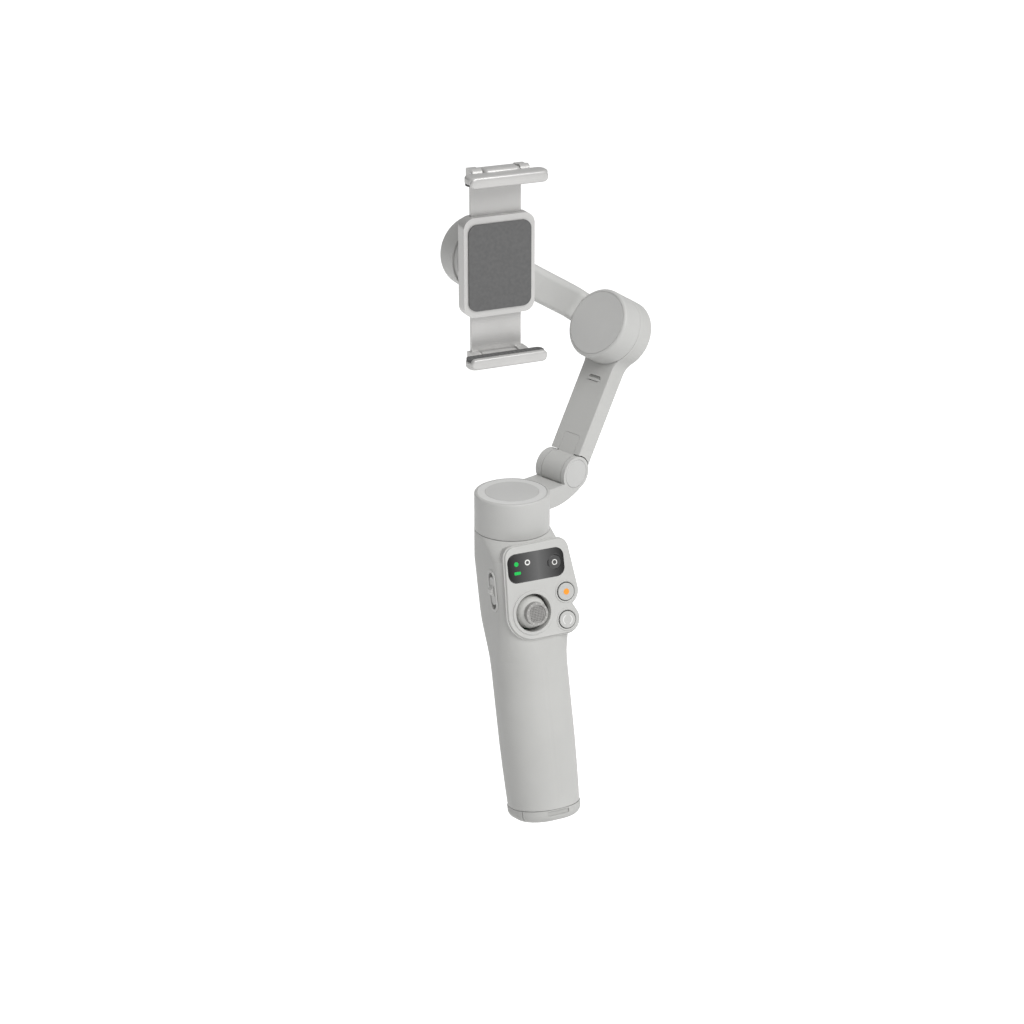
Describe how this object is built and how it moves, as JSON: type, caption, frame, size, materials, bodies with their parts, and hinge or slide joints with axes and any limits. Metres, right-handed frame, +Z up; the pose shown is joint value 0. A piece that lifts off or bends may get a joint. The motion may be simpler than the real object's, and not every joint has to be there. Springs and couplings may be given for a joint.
{
  "type": "camera gimbal",
  "caption": "Handheld phone stabiliser: leaning grip with control panel and fold-out legs, pan, tilt and roll motors on a folding arm, and a detachable spring clamp.",
  "frame": {"origin": "mouth of the threaded tripod socket, at the centre of the grip's underside", "axes": "+Z up along the pan axis, +Y away from the user, +X to the user's right; the grip leans 14.2 degrees towards -Y going down"},
  "size_m": [0.1019, 0.0927, 0.3028],
  "materials": {
    "arm_plastic": "fine-textured",
    "bare_aluminium": "anodised",
    "board": "solder mask",
    "brass_insert": "machined",
    "button_plastic": "satin",
    "cap_plastic": "satin",
    "cell_wrap": "shrink wrap",
    "clamp_paint": "satin",
    "display_glass": "polished dark window",
    "foot_rubber": "fine-textured",
    "iron_core": "laminated",
    "magnet": "plated",
    "mode_plastic": "satin dark",
    "motor_paint": "satin",
    "pad_rubber": "soft grip",
    "panel_plastic": "fine-textured",
    "shell_plastic": "fine-textured",
    "steel": "turned",
    "stick_rubber": "moulded, notched rim"
  },
  "bodies": {
    "handle": {"grip_front_shell": "shell_plastic", "grip_back_shell": "shell_plastic", "control_plate": "panel_plastic", "display_window": "display_glass", "button_switches": "steel", "joystick_base": "bare_aluminium", "zoom_bezel": "panel_plastic", "trigger_pin": "steel", "usb_port": "steel", "tripod_post": "bare_aluminium", "socket_insert": "brass_insert", "battery": "cell_wrap", "circuit_board": "board", "board_screws": "steel", "pan_base_plate": "bare_aluminium", "pan_stator": "iron_core", "pan_bearing": "steel"},
    "mode_key": {"mode_button": "mode_plastic"},
    "record_key": {"record_button": "button_plastic"},
    "switch_key": {"switch_button": "button_plastic"},
    "stick_gimbal": {"joystick_ring": "bare_aluminium"},
    "stick": {"joystick_cap": "stick_rubber"},
    "zoom": {"zoom_slider": "button_plastic"},
    "trigger_blade": {"trigger": "button_plastic"},
    "pan_stage": {"pan_housing": "motor_paint", "pan_magnets": "magnet", "pan_top_ring": "cap_plastic", "pan_top_disc": "cap_plastic", "fold_pin": "steel", "fold_pin_cap": "cap_plastic"},
    "arm": {"arm_shell": "arm_plastic", "arm_knuckle": "arm_plastic", "tilt_base_plate": "bare_aluminium", "tilt_stator": "iron_core", "tilt_bearing": "steel"},
    "tilt_stage": {"tilt_link": "motor_paint", "tilt_magnets": "magnet", "tilt_cap": "cap_plastic", "roll_back_cap": "cap_plastic", "roll_stator": "iron_core", "roll_bearings": "steel"},
    "roll_stage": {"roll_rotor": "motor_paint", "roll_magnets": "magnet", "mount_plate": "steel"},
    "clamp": {"clamp_steel_ring": "steel", "clamp_body": "clamp_paint", "clamp_back_pad": "pad_rubber"},
    "upper_rail": {"upper_jaw_rail": "clamp_paint", "upper_jaw_pin": "steel"},
    "upper_jaw_flap": {"upper_jaw": "clamp_paint", "upper_jaw_pad": "pad_rubber"},
    "lower_rail": {"lower_jaw_rail": "clamp_paint", "lower_jaw_pin": "steel"},
    "lower_jaw_flap": {"lower_jaw": "clamp_paint", "lower_jaw_pad": "pad_rubber"},
    "tripod": {"tripod_carrier": "bare_aluminium", "tripod_leg_front": "foot_rubber", "tripod_leg_right": "foot_rubber", "tripod_leg_left": "foot_rubber", "leg_pins": "steel"}
  },
  "joints": [
    {"name": "mode_press", "type": "slide", "parent": "handle", "child": "mode_key", "axis": [0, 0.9694, -0.2453], "range_m": [0, 0.0006], "stiffness_N_per_m": 250, "springref_m": -0.0008},
    {"name": "record_press", "type": "slide", "parent": "handle", "child": "record_key", "axis": [0, 0.9694, -0.2453], "range_m": [0, 0.0006], "stiffness_N_per_m": 250, "springref_m": -0.0008},
    {"name": "switch_press", "type": "slide", "parent": "handle", "child": "switch_key", "axis": [0, 0.9694, -0.2453], "range_m": [0, 0.0006], "stiffness_N_per_m": 250, "springref_m": -0.0008},
    {"name": "stick_up_down", "type": "hinge", "parent": "handle", "child": "stick_gimbal", "pos_m": [-0.0036, 0.01004, 0.09999], "axis": [1, 0, 0], "range_deg": [-15, 15], "stiffness_Nm_per_rad": 0.05},
    {"name": "stick_left_right", "type": "hinge", "parent": "stick_gimbal", "child": "stick", "pos_m": [-0.0036, 0.01004, 0.09999], "axis": [0, 0.2453, 0.9694], "range_deg": [-15, 15], "stiffness_Nm_per_rad": 0.05},
    {"name": "zoom_slide", "type": "slide", "parent": "handle", "child": "zoom", "axis": [0, 0.2453, 0.9694], "range_m": [-0.0018, 0.0018], "stiffness_N_per_m": 200},
    {"name": "trigger_pull", "type": "hinge", "parent": "handle", "child": "trigger_blade", "pos_m": [0, 0.0484, 0.1171], "axis": [-1, 0, 0], "range_deg": [0, 8], "stiffness_Nm_per_rad": 0.05, "springref_deg": -8.59},
    {"name": "pan", "type": "hinge", "parent": "handle", "child": "pan_stage", "pos_m": [0, 0.03631, 0.13071], "axis": [0, 0, 1], "range_deg": [-161, 172]},
    {"name": "arm_fold", "type": "hinge", "parent": "pan_stage", "child": "arm", "pos_m": [0.03054, 0.04713, 0.15081], "axis": [0.3338, -0.9426, 0], "range_deg": [0, 92]},
    {"name": "tilt", "type": "hinge", "parent": "arm", "child": "tilt_stage", "pos_m": [0.06086, 0.05786, 0.21101], "axis": [-0.8139, -0.2882, 0.5045], "range_deg": [-106, 235]},
    {"name": "roll", "type": "hinge", "parent": "tilt_stage", "child": "roll_stage", "pos_m": [-0.0054, 0.03675, 0.2553], "axis": [0, -1, 0], "range_deg": [-137, 198]},
    {"name": "clamp_lift_off", "type": "slide", "parent": "roll_stage", "child": "clamp", "axis": [0, -1, 0], "range_m": [0, 0.015]},
    {"name": "upper_jaw_slide", "type": "slide", "parent": "clamp", "child": "upper_rail", "axis": [0, 0, 1], "range_m": [-0.0053, 0.0032]},
    {"name": "upper_jaw_fold", "type": "hinge", "parent": "upper_rail", "child": "upper_jaw_flap", "pos_m": [-0.0054, 0.03775, 0.2971], "axis": [1, 0, 0], "range_deg": [0, 80]},
    {"name": "lower_jaw_slide", "type": "slide", "parent": "clamp", "child": "lower_rail", "axis": [0, 0, -1], "range_m": [-0.0053, 0.0032]},
    {"name": "lower_jaw_fold", "type": "hinge", "parent": "lower_rail", "child": "lower_jaw_flap", "pos_m": [-0.0054, 0.03775, 0.2135], "axis": [-1, 0, 0], "range_deg": [0, 80]},
    {"name": "tripod_slide", "type": "slide", "parent": "handle", "child": "tripod", "axis": [0, -0.2453, -0.9694], "range_m": [0, 0.04]}
  ],
  "couplings": [
    {"joint": "lower_jaw_slide", "follows": "upper_jaw_slide", "ratio": 1}
  ]
}
